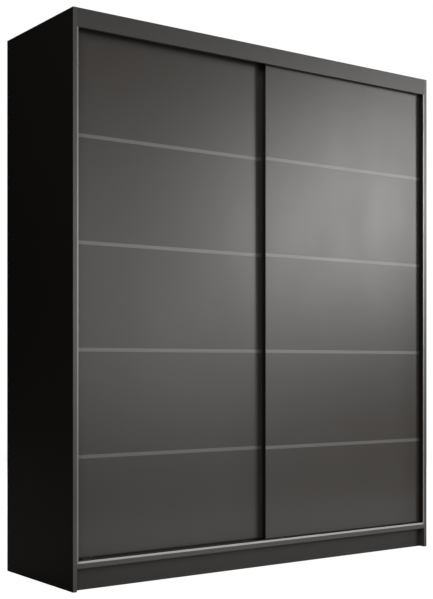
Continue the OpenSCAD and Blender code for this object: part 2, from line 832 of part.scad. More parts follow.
module door_roller_screws(side) {
    color([0.7, 0.7, 0.72]) place_door(side)
        for (x = wheel_xs, s = [-1, 1], z = flange_screw_zs)
            translate([x + s * (housing_l / 2 + flange_wing / 2), door_t + flange_t, z])
                rotate([-90, 0, 0]) wood_screw();
}

// A grooved wheel on its axle; number counts from the door's left edge
module door_wheel(side, number) {
    rim = (wheel_w - groove_w) / 2;
    color([0.85, 0.85, 0.83]) place_door(side)
        translate([wheel_xs[number], housing_mid + wheel_w / 2, wheel_up]) rotate([90, 0, 0])
            rotate_extrude() polygon([
                [axle_r + axle_fit, 0], [wheel_r - 0.5, 0], [wheel_r, 0.4], [wheel_r, rim - 0.3],
                [groove_r, rim], [groove_r, wheel_w - rim], [wheel_r, wheel_w - rim + 0.3],
                [wheel_r, wheel_w - 0.4], [wheel_r - 0.5, wheel_w], [axle_r + axle_fit, wheel_w]]);
}

// A top guide: a plate on the door's upper edge, a neck and a block inside the track's channel
module top_guide() {
    block_w = channel_w - 2 * guide_gap;
    block_z = roof_z - upper_track_h + guide_block_low_gap - door_z;
    block_top = roof_z - track_t - guide_block_top_gap - door_z;
    end_r = 5;
    difference() {
        slab([-guide_l / 2, guide_plate_setback, door_h],
            [guide_l / 2, door_t - guide_plate_setback, door_h + guide_plate_t]);
        for (s = [-1, 1])
            translate([s * (guide_l / 2 - guide_screw_in), door_t / 2, door_h + guide_plate_t])
                screw_hole(guide_plate_t + eps);
    }
    translate([-guide_neck_l / 2, door_t / 2 - guide_neck_t / 2, door_h + guide_plate_t - eps])
        cube([guide_neck_l, guide_neck_t, block_z - door_h - guide_plate_t + 2 * eps]);
    translate([0, door_t / 2, block_z]) linear_extrude(block_top - block_z) union() {
        square([guide_block_l - 2 * end_r, block_w], center = true);
        square([guide_block_l, block_w - 2 * end_r], center = true);
        for (x = [-1, 1], y = [-1, 1])
            translate([x * (guide_block_l / 2 - end_r), y * (block_w / 2 - end_r)]) circle(r = end_r);
    }
}

module door_top_guides(side) {
    color([0.12, 0.12, 0.12]) place_door(side) for (x = guide_xs) translate([x, 0, 0]) top_guide();
}

module door_guide_screws(side) {
    color([0.7, 0.7, 0.72]) place_door(side)
        for (x = guide_xs, s = [-1, 1])
            translate([x + s * (guide_l / 2 - guide_screw_in), door_t / 2, door_h + guide_plate_t])
                wood_screw();
}

// The overlap profile behind the front door's inner edge, with a brush towards the rear door
profile_wing = 18;
profile_wing_t = 1.6;
profile_web = 4;
profile_gap = 5;
profile_d = door_pitch - door_t - profile_gap;
profile_screw_in = 6;
profile_screw_end = 60;
brush_t = 2;
brush_in = 4;
brush_groove_gap = 0.1;
profile_screw_zs = [for (i = [0:6]) profile_screw_end + i * (door_h - 2 * profile_screw_end) / 6];

module overlap_profile() {
    color([0.07, 0.07, 0.07]) place_door("right") difference() {
        translate([0, door_t, 0]) union() {
            cube([profile_wing, profile_wing_t, door_h]);
            cube([profile_web, profile_d, door_h]);
        }
        translate([profile_web / 2 - brush_t / 2 - brush_groove_gap, door_t + profile_d - brush_in, -1])
            cube([brush_t + 2 * brush_groove_gap, brush_in + 1, door_h + 2]);
        for (z = profile_screw_zs)
            translate([profile_wing - profile_screw_in, door_t + profile_wing_t, z]) rotate([-90, 0, 0])
                screw_hole(profile_wing_t + eps);
    }
}

module overlap_brush() {
    color([0.13, 0.13, 0.13]) place_door("right")
        translate([profile_web / 2 - brush_t / 2, door_t + profile_d - brush_in, 0])
            cube([brush_t, door_pitch - door_t - profile_d + brush_in - brush_gap, door_h]);
}

module profile_screws() {
    color([0.7, 0.7, 0.72]) place_door("right")
        for (z = profile_screw_zs)
            translate([profile_wing - profile_screw_in, door_t + profile_wing_t, z])
                rotate([-90, 0, 0]) wood_screw();
}

// ---------------------------------------------------------------- assembly

left_side_panel();
right_side_panel();
top_panel();
bottom_panel();
centre_partition();
front_plinth();
rear_plinth();
plinth_brace();
top_fascia();
front_edge_bands();
left_back_panel();
right_back_panel();
back_nails();
left_closing_strip();
right_closing_strip();
upper_track();
lower_track();
track_lip();
track_screws();
track_stops();
for (i = [1:shelf_count])
    shelf(i);
hat_shelf();
hanging_rail();
rail_sockets();
rail_socket_screws();
shelf_pins();
dowels();
cam_locks();
cam_bolts();
wall_brackets();
wall_bracket_screws();
overlap_profile();
overlap_brush();
profile_screws();
for (side = ["left", "right"]) {
    door_board(side);
    door_edge_bands(side);
    door_inlays(side);
    door_roller_housings(side);
    door_roller_axles(side);
    door_roller_screws(side);
    door_top_guides(side);
    door_guide_screws(side);
    door_wheel(side, side == "left" ? 0 : 1);
    door_wheel(side, side == "left" ? 1 : 0);
}
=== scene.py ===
"""Looks of a free-standing wardrobe with two sliding doors.

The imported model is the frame: every piece stands where its CAD node stands. Boards, tracks and
fittings are eased copies of the CAD solids, with softened edges and raw cores in their drilled
holes; wheels, nails, pins and the brush are modelled here. Lengths are in metres.
"""

import json
import logging
import math
import random
from dataclasses import dataclass, field
from enum import Enum
from typing import Iterable, Optional, Sequence, Union

import bmesh
import bpy
from mathutils import Matrix, Vector

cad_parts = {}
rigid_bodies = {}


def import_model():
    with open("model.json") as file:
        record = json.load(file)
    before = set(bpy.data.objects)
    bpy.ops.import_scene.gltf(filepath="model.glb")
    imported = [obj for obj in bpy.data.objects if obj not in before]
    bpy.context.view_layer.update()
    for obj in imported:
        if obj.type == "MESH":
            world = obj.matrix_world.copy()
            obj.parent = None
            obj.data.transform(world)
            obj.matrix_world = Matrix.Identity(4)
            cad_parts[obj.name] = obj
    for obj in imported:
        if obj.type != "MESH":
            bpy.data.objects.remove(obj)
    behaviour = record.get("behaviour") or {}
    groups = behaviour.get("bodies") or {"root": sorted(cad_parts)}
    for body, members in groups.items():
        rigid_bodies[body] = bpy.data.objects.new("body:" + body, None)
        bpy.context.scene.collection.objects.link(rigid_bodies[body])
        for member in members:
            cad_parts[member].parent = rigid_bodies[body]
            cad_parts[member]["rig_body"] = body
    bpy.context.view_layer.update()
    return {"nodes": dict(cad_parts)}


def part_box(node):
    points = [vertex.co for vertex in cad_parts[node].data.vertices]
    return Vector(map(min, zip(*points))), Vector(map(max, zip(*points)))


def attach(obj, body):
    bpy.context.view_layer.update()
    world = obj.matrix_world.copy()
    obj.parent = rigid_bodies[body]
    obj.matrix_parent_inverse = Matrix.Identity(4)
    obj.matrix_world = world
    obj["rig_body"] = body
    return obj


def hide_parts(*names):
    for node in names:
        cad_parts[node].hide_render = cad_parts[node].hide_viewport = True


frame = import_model()

MM = 0.001
MERGE = 0.002 * MM
FLAT = math.radians(1.0)
CREASE = math.radians(50.0)
SQUARE_ON = 0.9
SCREW_EASE = 0.08 * MM
LOG = logging.getLogger("wardrobe")

Number = Union[int, float]
Colour = tuple[float, float, float]


class Side(Enum):
    """Which half of the wardrobe a piece belongs to."""

    LEFT = "left"
    RIGHT = "right"


class Axis(Enum):
    """A direction of the frame, as the index of its coordinate."""

    X = 0
    Y = 1
    Z = 2

    @property
    def vector(self) -> Vector:
        """The unit vector along the axis."""
        return Vector([1.0 if i == self.value else 0.0 for i in range(3)])


# ---------------------------------------------------------------- shader maths


class Wire:
    """A shader value that adds its own Math nodes when it is used in an expression."""

    def __init__(self, bench: "Bench", socket: bpy.types.NodeSocket) -> None:
        """Wrap a socket.

        Args:
            bench: The bench whose node tree the socket is in.
            socket: The output socket that carries the value.
        """
        self.bench = bench
        self.socket = socket

    def _maths(self, operation: str, *values: "Feed") -> "Wire":
        """Add one Math node over the given values and return its result."""
        inputs = dict(enumerate(values))
        return self.bench.node("ShaderNodeMath", {"operation": operation}, inputs)

    def __add__(self, other: "Feed") -> "Wire":
        """This value plus another."""
        return self._maths("ADD", self, other)

    def __sub__(self, other: "Feed") -> "Wire":
        """This value minus another."""
        return self._maths("SUBTRACT", self, other)

    def __rsub__(self, other: "Feed") -> "Wire":
        """Another value minus this one."""
        return self._maths("SUBTRACT", other, self)

    def __mul__(self, other: "Feed") -> "Wire":
        """This value times another."""
        return self._maths("MULTIPLY", self, other)

    __radd__ = __add__
    __rmul__ = __mul__

    def ramp(self, low: float, high: float) -> "Wire":
        """This value as a smooth step from 0 at low to 1 at high."""
        settings = {"interpolation_type": "SMOOTHSTEP"}
        inputs = {"Value": self, "From Min": low, "From Max": high}
        return self.bench.node("ShaderNodeMapRange", settings, inputs)


Feed = Union[Wire, Number, Sequence[float]]


class Bench:
    """A work bench for one material or world: it makes nodes and joins them.

    Attributes:
        MIX_COLOURS: The numbers of a Mix node's two colour inputs, whose names aren't unique.
        MIX_RESULT: The number of its colour output.
    """

    MIX_COLOURS = (6, 7)
    MIX_RESULT = 2

    def __init__(self, tree: bpy.types.NodeTree) -> None:
        """Clear a node tree and work in it.

        Args:
            tree: The node tree of a material or of the world.
        """
        self.tree = tree
        self.tree.nodes.clear()

    def node(self, kind: str, settings: Optional[dict] = None, inputs: Optional[dict] = None,
             output: Union[int, str] = 0) -> Wire:
        """Add any node.

        Args:
            kind: The node's type name.
            settings: Properties that are set first, such as a Math node's operation.
            inputs: Values or wires by the socket's name or number.
            output: The output socket that is returned, by name or number.

        Returns:
            The chosen output as a wire.
        """
        made = self.tree.nodes.new(kind)
        for name, value in (settings or {}).items():
            setattr(made, name, value)
        for key, value in (inputs or {}).items():
            socket = made.inputs[key]
            if isinstance(value, Wire):
                self.tree.links.new(value.socket, socket)
            else:
                socket.default_value = value
        return Wire(self, made.outputs[output]) if len(made.outputs) else Wire(self, None)

    def place(self) -> Wire:
        """The object coordinates, in metres."""
        return self.node("ShaderNodeTexCoord", output="Object")

    def stretched(self, scale: Sequence[float]) -> Wire:
        """Object coordinates with a scale for each axis."""
        return self.node("ShaderNodeMapping", None, {"Vector": self.place(), "Scale": scale})

    def noise(self, scale: float, detail: float = 2.0, rough: float = 0.5,
              where: Optional[Wire] = None) -> Wire:
        """Noise from 0 to 1.

        Args:
            scale: Patches in a metre.
            detail: Octaves of finer noise.
            rough: How strong the finer octaves are.
            where: The coordinates, which are the object's if left out.

        Returns:
            The noise as a wire.
        """
        inputs = {"Vector": where or self.place(), "Scale": scale, "Detail": detail,
                  "Roughness": rough}
        return self.node("ShaderNodeTexNoise", None, inputs)

    def cells(self, scale: float, where: Optional[Wire] = None, output: str = "Distance") -> Wire:
        """Voronoi cells of a given number in a metre."""
        inputs = {"Vector": where or self.place(), "Scale": scale}
        return self.node("ShaderNodeTexVoronoi", None, inputs, output)

    def softened_edges(self) -> Wire:
        """1 on a piece's softened edges, and 0 on its faces."""
        return self.node("ShaderNodeAttribute", {"attribute_name": "softened_edges"}, output="Fac")

    def mix(self, share: Feed, one: Feed, other: Feed) -> Wire:
        """Mix two colours.

        Args:
            share: 0 for the first colour, 1 for the second.
            one: The first colour, as three numbers or a wire.
            other: The second colour.

        Returns:
            The mixed colour as a wire.
        """
        inputs = {"Factor": share, **dict(zip(self.MIX_COLOURS, (_rgba(one), _rgba(other))))}
        return self.node("ShaderNodeMix", {"data_type": "RGBA"}, inputs, self.MIX_RESULT)

    def bump(self, height: Wire, depth: float) -> Wire:
        """A Bump node over a height, whose full range is depth metres."""
        inputs = {"Height": height, "Distance": depth, "Strength": 1.0}
        return self.node("ShaderNodeBump", None, inputs)

    def shade(self, **inputs: Feed) -> None:
        """Finish the material with one Principled shader.

        Args:
            inputs: Its sockets by name, with _ for a space.
        """
        sockets = {key.replace("_", " "): value for key, value in inputs.items()}
        sockets["Base Color"] = _rgba(sockets["Base Color"])
        shader = self.node("ShaderNodeBsdfPrincipled", None, sockets)
        self.node("ShaderNodeOutputMaterial", None, {"Surface": shader})


def _rgba(colour: Feed) -> Feed:
    """A colour of three numbers with its alpha, or a wire as it is."""
    return colour if isinstance(colour, Wire) else (*colour[:3], 1.0)


def shaded(colour: Colour, factor: float) -> Colour:
    """A colour made lighter or darker by a factor."""
    return tuple(min(1.0, part * factor) for part in colour)


# ---------------------------------------------------------------- finishes


@dataclass(frozen=True)
class Finish:
    """What every finish has: its own name, the record's slot and a way to its material."""

    name: str
    slot: str

    def draw(self, bench: Bench) -> None:
        """Draw the finish's nodes on a bench."""
        raise NotImplementedError

    def material(self) -> bpy.types.Material:
        """The finish's material, made on first use."""
        made = bpy.data.materials.get(self.name)
        if made is None:
            made = bpy.data.materials.new(self.name)
            made.use_nodes = True
            self.draw(Bench(made.node_tree))
        return made


@dataclass(frozen=True)
class Laminate(Finish):
    """Melamine-faced board: a fine pearl texture, faint clouds and edges lightened in patches,
    partly wear and partly painted highlight.
    """

    colour: Colour = (0.05, 0.05, 0.05)
    roughness: float = 0.45
    specular: float = 0.5
    pearl: float = 0.00003
    # How much lighter the edge patches are: partly wear, partly painted highlight.
    edge_wear_and_highlight: float = 1.6

    def draw(self, bench: Bench) -> None:
        """Draw the pearl texture, the clouds and the edges lightened partly by wear and partly as
        painted highlight.
        """
        pearl = bench.noise(1400.0, detail=2.0, rough=0.6)
        speckle = bench.noise(520.0, detail=1.0).ramp(0.35, 0.75)
        clouds = bench.noise(2.2, detail=3.0, rough=0.55)
        wipes = bench.noise(7.0, detail=2.0, rough=0.5, where=bench.stretched((1.0, 1.0, 0.35)))
        # Patches of the softened edges that are lightened below: partly wear, partly painted
        # highlight.
        chips = bench.softened_edges() * bench.noise(90.0, detail=3.0, rough=0.7).ramp(0.35, 0.7)
        body = bench.mix(speckle, shaded(self.colour, 0.93), shaded(self.colour, 1.07))
        toned = bench.mix(clouds.ramp(0.3, 0.7) * 0.5, body, shaded(self.colour, 0.9))
        bench.shade(
            Base_Color=bench.mix(chips * 0.6, toned, shaded(self.colour, self.edge_wear_and_highlight)),
            Roughness=self.roughness + (clouds - 0.5) * 0.06 + (wipes - 0.5) * 0.05 + chips * 0.1,
            Specular_IOR_Level=self.specular,
            Normal=bench.bump(pearl, self.pearl),
        )


@dataclass(frozen=True)
class Core(Finish):
    """The raw core of a board: pressed chips of many browns, coarse in the middle."""

    pale: Colour = (0.42, 0.29, 0.16)
    dark: Colour = (0.16, 0.1, 0.05)

    def draw(self, bench: Bench) -> None:
        """Draw the chips and the grit between them."""
        chips = bench.cells(420.0, where=bench.stretched((1.0, 1.0, 1.7)), output="Color")
        tint = bench.node("ShaderNodeSeparateColor", None, {"Color": chips})
        grit = bench.noise(900.0, detail=3.0, rough=0.7)
        body = bench.mix(tint.ramp(0.1, 0.95), self.dark, self.pale)
        bench.shade(
            Base_Color=bench.mix(grit.ramp(0.3, 0.55), shaded(self.dark, 0.7), body),
            Roughness=0.85,
            Specular_IOR_Level=0.3,
            Normal=bench.bump(grit + tint * 0.5, 0.0004),
        )


@dataclass(frozen=True)
class Hardboard(Finish):
    """Thin hardboard: felted fibres on its raw side, with darker flecks."""

    pale: Colour = (0.25, 0.155, 0.085)
    dark: Colour = (0.14, 0.08, 0.04)

    def draw(self, bench: Bench) -> None:
        """Draw the fibres in two directions, the stains and the flecks."""
        along, across = [bench.noise(260.0, detail=4.0, rough=0.65, where=bench.stretched(scale))
                         for scale in ((0.25, 1.0, 1.0), (1.0, 1.0, 0.25))]
        flecks = bench.noise(150.0, detail=2.0).ramp(0.66, 0.74)
        stain = bench.noise(1.7, detail=3.0).ramp(0.3, 0.7)
        felt = along * 0.5 + across * 0.5
        body = bench.mix(felt.ramp(0.32, 0.68), self.dark, self.pale)
        toned = bench.mix(stain * 0.35, body, shaded(self.pale, 0.72))
        bench.shade(
            Base_Color=bench.mix(flecks * 0.6, toned, shaded(self.dark, 0.55)),
            Roughness=0.78 + (felt - 0.5) * 0.2,
            Specular_IOR_Level=0.3,
            Normal=bench.bump(felt, 0.00025),
        )


@dataclass(frozen=True)
class DrawnMetal(Finish):
    """Metal with fine lines along the way it was drawn or brushed."""

    colour: Colour = (0.6, 0.6, 0.6)
    roughness: float = 0.35
    metallic: float = 1.0
    along: Axis = Axis.X
    lines: float = 0.00002

    def draw(self, bench: Bench) -> None:
        """Draw the lines, the clouds of the finish and its scratched edges."""
        scale = [1.0 if axis == self.along else 60.0 for axis in Axis]
        lines = bench.noise(34.0, detail=4.0, rough=0.7, where=bench.stretched(scale))
        clouds = bench.noise(9.0, detail=2.0)
        scuffs = bench.softened_edges() * bench.noise(140.0, detail=2.0).ramp(0.4, 0.7)
        body = bench.mix(lines.ramp(0.25, 0.75), shaded(self.colour, 0.86),
                         shaded(self.colour, 1.1))
        bench.shade(
            Base_Color=bench.mix(scuffs * 0.5, body, shaded(self.colour, 1.35)),
            Metallic=self.metallic,
            Roughness=self.roughness + (lines - 0.5) * 0.16 + (clouds - 0.5) * 0.08,
            Normal=bench.bump(lines, self.lines),
        )


@dataclass(frozen=True)
class Plated(Finish):
    """Zinc or chrome plate: bright, with faint spangles and handling marks."""

    colour: Colour = (0.62, 0.62, 0.64)
    roughness: float = 0.3
    spangle: float = 0.06

    def draw(self, bench: Bench) -> None:
        """Draw the spangles and the marks."""
        spangle = bench.cells(700.0)
        marks = bench.noise(60.0, detail=3.0, rough=0.6)
        bench.shade(
            Base_Color=bench.mix(spangle.ramp(0.1, 0.8), self.colour, shaded(self.colour, 0.88)),
            Metallic=1.0,
            Roughness=self.roughness + (spangle - 0.4) * self.spangle + (marks - 0.5) * 0.08,
            Normal=bench.bump(marks, 0.00002),
        )


@dataclass(frozen=True)
class Moulded(Finish):
    """Moulded plastic with the fine texture of an etched tool."""

    colour: Colour = (0.03, 0.03, 0.03)
    roughness: float = 0.55
    etch: float = 0.00004

    def draw(self, bench: Bench) -> None:
        """Draw the etched texture and edges polished by handling."""
        etch = bench.noise(2200.0, detail=2.0, rough=0.6)
        flow = bench.noise(35.0, detail=2.0)
        softened_edges = bench.softened_edges()
        bench.shade(
            Base_Color=bench.mix(flow.ramp(0.3, 0.7), shaded(self.colour, 0.92),
                                 shaded(self.colour, 1.1)),
            Roughness=self.roughness + (flow - 0.5) * 0.1 - softened_edges * 0.12,
            Normal=bench.bump(etch, self.etch),
        )


@dataclass(frozen=True)
class Beech(Finish):
    """Raw beech: pale, with short dark rays along the grain."""

    colour: Colour = (0.6, 0.4, 0.22)

    def draw(self, bench: Bench) -> None:
        """Draw the grain and the rays."""
        grain = bench.noise(90.0, detail=4.0, rough=0.6, where=bench.stretched((0.15, 1.0, 1.0)))
        rays = bench.cells(900.0, where=bench.stretched((0.3, 1.0, 1.0))).ramp(0.05, 0.2)
        body = bench.mix(grain, shaded(self.colour, 0.75), shaded(self.colour, 1.15))
        bench.shade(
            Base_Color=bench.mix(rays, shaded(self.colour, 0.55), body),
            Roughness=0.7,
            Normal=bench.bump(grain, 0.0001),
        )


@dataclass(frozen=True)
class Pile(Finish):
    """Nylon brush pile: dark fibres with a little sheen."""

    colour: Colour = (0.02, 0.02, 0.02)

    def draw(self, bench: Bench) -> None:
        """Draw fibres of slightly different depths."""
        fibres = bench.noise(1800.0, detail=2.0, rough=0.6, where=bench.stretched((1.0, 0.1, 1.0)))
        bench.shade(
            Base_Color=bench.mix(fibres, shaded(self.colour, 0.6), shaded(self.colour, 1.6)),
            Roughness=0.8,
            Sheen_Weight=0.3,
            Normal=bench.bump(fibres, 0.0002),
        )


# Carcass skin made near black, far darker than the fascia and the bands: painted shade of the
# sides that the lights miss.
CARCASS_PAINTED_SHADE = Laminate("black_melamine_painted_shade", "carcass_board", (0.0065, 0.0052, 0.0043),
                   roughness=0.55, specular=0.1, edge_wear_and_highlight=3.5)
INSIDE = Laminate("inner_melamine", "carcass_board", (0.05, 0.048, 0.045),
                  roughness=0.5, specular=0.4)
PLINTH = Laminate("plinth_melamine", "plinth_board", (0.021, 0.0195, 0.0184),
                  roughness=0.5, specular=0.4)
FASCIA = Laminate("fascia_melamine", "fascia_board", (0.038, 0.0357, 0.034), roughness=0.42)
DOOR = Laminate("door_laminate", "door_board", (0.0345, 0.0295, 0.026),
                roughness=0.36, pearl=0.00002, edge_wear_and_highlight=1.4)
# Door edge bands made near black: painted shade of the edges that face away from the lights.
DOOR_BAND_PAINTED_SHADE = Laminate("door_band_painted_shade", "door_edge_band", (0.008, 0.0075, 0.007), specular=0.25)
BAND = Laminate("front_edge_band", "edge_band", (0.056, 0.0535, 0.051), roughness=0.38)
CORE = Core("chipboard_core", "carcass_board")
BACK = Hardboard("raw_hardboard", "hardboard")
BACK_INSIDE = Laminate("lacquered_hardboard", "hardboard", (0.06, 0.058, 0.055),
                       roughness=0.5, specular=0.4)
INLAY = DrawnMetal("inlay_lacquer", "inlay", (0.12, 0.117, 0.113), roughness=0.4, metallic=0.35)
STRIP = DrawnMetal("strip_anodised", "strip_aluminium", (0.24, 0.235, 0.229),
                   roughness=0.4, metallic=0.6, along=Axis.Z)
TRACK = DrawnMetal("track_anodised", "track_aluminium", (0.5, 0.495, 0.485),
                   roughness=0.33, metallic=0.85)
LIP = DrawnMetal("lip_anodised", "track_aluminium", (0.43, 0.425, 0.415),
                 roughness=0.33, metallic=0.6)
# Lower track made black: painted shade under the doors, behind the bright lip.
LOWER_TRACK_PAINTED_SHADE = DrawnMetal("lower_track_painted_shade", "black_aluminium", (0.02, 0.02, 0.02),
                         roughness=0.45, metallic=0.4)
# Black anodised overlap profile; on the closing strips' inner faces the same black is painted
# shade.
BLACK_PROFILE_AND_PAINTED_SHADE = DrawnMetal("black_anodised_and_painted_shade", "black_aluminium", (0.02, 0.02, 0.02),
                           roughness=0.4, metallic=0.5, along=Axis.Z)
ZINC = Plated("zinc_plate", "zinc_steel")
CHROME = Plated("chrome_plate", "chromed_steel", (0.75, 0.75, 0.77), roughness=0.12, spangle=0.02)
BLACK_NYLON = Moulded("moulded_black_nylon", "black_nylon")
# Wheel nylon darkened to dark grey: painted shade under the doors.
WHEEL_NYLON_PAINTED_SHADE = Moulded("wheel_nylon_painted_shade", "wheel_nylon", (0.085, 0.082, 0.077), roughness=0.42)
BEECH = Beech("raw_beech", "beech")
PILE = Pile("brush_pile", "brush_fibre")


# ---------------------------------------------------------------- making pieces


def finish_piece(name: str, bm: bmesh.types.BMesh, body: str, finishes: Sequence[Finish],
                 nodes: Iterable[str] = ()) -> bpy.types.Object:
    """Turn a bmesh into a piece of the wardrobe.

    Args:
        name: The piece's name.
        bm: Its shape, which is freed.
        body: The CAD body it rides on.
        finishes: Its finishes, in the order of its faces' material numbers.
        nodes: The CAD nodes that it stands for.

    Returns:
        The piece.
    """
    mesh = bpy.data.meshes.new(name)
    bm.to_mesh(mesh)
    bm.free()
    for finish in finishes:
        mesh.materials.append(finish.material())
    mesh.shade_smooth()
    piece = bpy.data.objects.new(name, mesh)
    bpy.context.scene.collection.objects.link(piece)
    crisp = piece.modifiers.new("flat_faces", "WEIGHTED_NORMAL")
    crisp.keep_sharp = True
    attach(piece, body)
    if nodes:
        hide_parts(*nodes)
    LOG.info("%s: %d faces on %s", name, len(mesh.polygons), body)
    return piece


@dataclass
class Eased:
    """An eased copy of a CAD node: the same solid with softened edges.

    Attributes:
        node: The CAD node.
        finish: The finish of its skin.
        ease: How far each sharp edge is cut back.
        core: The finish inside holes and on raw edges, or None for one finish all over.
        raw: Raw outer faces, as an axis and a sign.
        other: A second skin for the outer face that is given with it.
        segments: Steps in each softened edge.
        sharp: The angle past which an edge is softened.
        slack: How near the node's box a face counts as an outer one, beyond its softened edges.
    """

    node: str
    finish: Finish
    ease: float = 0.4 * MM
    core: Optional[Finish] = None
    raw: Sequence[tuple[Axis, int]] = ()
    other: Optional[tuple[Finish, Axis, int]] = None
    segments: int = 2
    sharp: float = math.radians(32.0)
    slack: float = 0.01 * MM

    def make(self) -> bpy.types.Object:
        """Copy, merge, ease and dress the node.

        Returns:
            The piece that stands for the node.
        """
        source = frame["nodes"][self.node]
        bm = bmesh.new()
        bm.from_mesh(source.data)
        bmesh.ops.remove_doubles(bm, verts=bm.verts, dist=MERGE)
        bmesh.ops.dissolve_limit(bm, angle_limit=FLAT, verts=bm.verts, edges=bm.edges)
        softened_edges = bm.faces.layers.float.new("softened_edges")
        if self.ease > 0:
            edges = [e for e in bm.edges if e.is_manifold and e.calc_face_angle(0.0) > self.sharp]
            cut = bmesh.ops.bevel(bm, geom=edges, offset=self.ease, offset_type="OFFSET",
                                  affect="EDGES", segments=self.segments, profile=0.5, material=-1,
                                  clamp_overlap=True)
            for face in cut["faces"]:
                face[softened_edges] = 1.0
        for edge in bm.edges:
            edge.smooth = edge.calc_face_angle(0.0) < CREASE
        self._dress(bm)
        finishes = [self.finish, *([self.core] if self.core else []),
                    *([self.other[0]] if self.other else [])]
        return finish_piece(self.node + "_piece", bm, source["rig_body"], finishes, [self.node])

    def _dress(self, bm: bmesh.types.BMesh) -> None:
        """Give the faces inside holes and on raw edges the core's material number."""
        low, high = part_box(self.node)
        reach = 2.0 * self.ease + self.slack
        for face in bm.faces:
            centre, normal = face.calc_center_median(), face.normal
            outer = [(axis, sign) for axis in Axis for sign, edge in ((-1, low), (1, high))
                     if abs(centre[axis.value] - edge[axis.value]) < reach]
            facing = [(axis, sign) for axis, sign in outer
                      if normal[axis.value] * sign > SQUARE_ON]
            if self.core and (not outer or any(place in self.raw for place in facing)):
                face.material_index = 1
            if self.other and (self.other[1], self.other[2]) in facing:
                face.material_index = 2 if self.core else 1


def screws(node: str) -> bpy.types.Object:
    """Make a node's zinc screws, eased just enough to catch the light."""
    return Eased(node, ZINC, SCREW_EASE, segments=1).make()


def lathe(bm: bmesh.types.BMesh, outline: Sequence[tuple[float, float]], base: Vector,
          axis: Vector, steps: int) -> None:
    """Turn an outline round an axis.

    Args:
        bm: The bmesh that takes the shape.
        outline: Points as (radius, height along the axis), closed if the first is the last.
        base: Where height 0 is.
        axis: The unit vector of the axis.
        steps: How many facets go round.
    """
    across = axis.orthogonal().normalized()
    closed = outline[0] == outline[-1]
    points = outline[:-1] if closed else outline
    before = set(bm.verts)
    old_faces = set(bm.faces)
    rim = [bm.verts.new(base + across * r + axis * h) for r, h in points]
    pairs = list(zip(rim, rim[1:] + (rim[:1] if closed else [])))
    edges = [bm.edges.new(pair) for pair in pairs if pair[0] is not pair[1]]
    bmesh.ops.spin(bm, geom=rim + edges, cent=base, axis=axis, angle=math.tau, steps=steps,
                   use_merge=True, use_duplicate=False)
    fresh = [v for v in bm.verts if v not in before]
    bmesh.ops.remove_doubles(bm, verts=fresh, dist=MERGE)
    faces = [f for f in bm.faces if f not in old_faces]
    bmesh.ops.recalc_face_normals(bm, faces=faces)


# ---------------------------------------------------------------- sub-assemblies


@dataclass
class Carcass:
    """The box itself: sides, top, bottom, partition, plinths, fascia, bands and backs.

    Attributes:
        board_ease: How far the boards' edges are softened, and so on for the next two.
        nail_shank: A nail's radius.
        nail_head: The radius of its head.
        nail_point: The length of its point.
        nail_steps: Facets round a nail.
        pieces: What has been made.
    """

    board_ease: float = 0.5 * MM
    band_ease: float = 0.25 * MM
    back_ease: float = 0.3 * MM
    nail_shank: float = 0.8 * MM
    nail_head: float = 3.0 * MM
    nail_point: float = 2.6 * MM
    nail_steps: int = 16
    pieces: list[bpy.types.Object] = field(default_factory=list)

    def build(self) -> list[bpy.types.Object]:
        """Make every board, band and back panel of the carcass."""
        back, under = (Axis.Y, 1), (Axis.Z, -1)
        outer = {Side.LEFT: (Axis.X, -1), Side.RIGHT: (Axis.X, 1)}
        for side in Side:
            inward = (INSIDE, Axis.X, -outer[side][1])
            # The outer skin of the side panels is near black: painted shade.
            self._board(f"{side.value}_side_panel", CARCASS_PAINTED_SHADE, raw=[back, under], other=inward)
            self.pieces.append(Eased(f"{side.value}_back_panel", BACK, self.back_ease,
                                     other=(BACK_INSIDE, Axis.Y, -1)).make())
        self._board("top_panel", CARCASS_PAINTED_SHADE, raw=[back], other=(INSIDE, Axis.Z, -1))
        self._board("bottom_panel", CARCASS_PAINTED_SHADE, raw=[back], other=(INSIDE, Axis.Z, 1))
        self._board("centre_partition", INSIDE, raw=[back])
        for node in ("front_plinth", "rear_plinth", "plinth_brace"):
            self._board(node, PLINTH, raw=[under])
        self._board("top_fascia", FASCIA)
        self.pieces.append(Eased("front_edge_bands", BAND, self.band_ease).make())
        self.pieces.append(self._nails())
        return self.pieces

    def _board(self, node: str, skin: Finish, raw: Sequence[tuple[Axis, int]] = (),
               other: Optional[tuple[Finish, Axis, int]] = None) -> None:
        """Make one board with a chipboard core."""
        self.pieces.append(Eased(node, skin, self.board_ease, CORE, raw, other).make())

    def _nails(self) -> bpy.types.Object:
        """Turn the back's nails, with a low dome on each head."""
        bm = bmesh.new()
        low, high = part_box("back_nails")
        length, shank, head = high.y - low.y, self.nail_shank, self.nail_head
        outline = [(0.0, -length), (0.5 * MM, 1.2 * MM - length),
                   (shank, self.nail_point - length), (shank, -0.8 * MM),
                   (head - 0.3 * MM, -0.8 * MM), (head, -0.45 * MM),
                   (head - 0.6 * MM, -0.15 * MM), (head - 1.8 * MM, -0.03 * MM), (0.0, 0.0)]
        for centre in island_centres("back_nails"):
            base = Vector((centre.x, high.y, centre.z))
            lathe(bm, outline, base, Axis.Y.vector, self.nail_steps)
        return finish_piece("back_nails_piece", bm, "carcass", [ZINC], ["back_nails"])


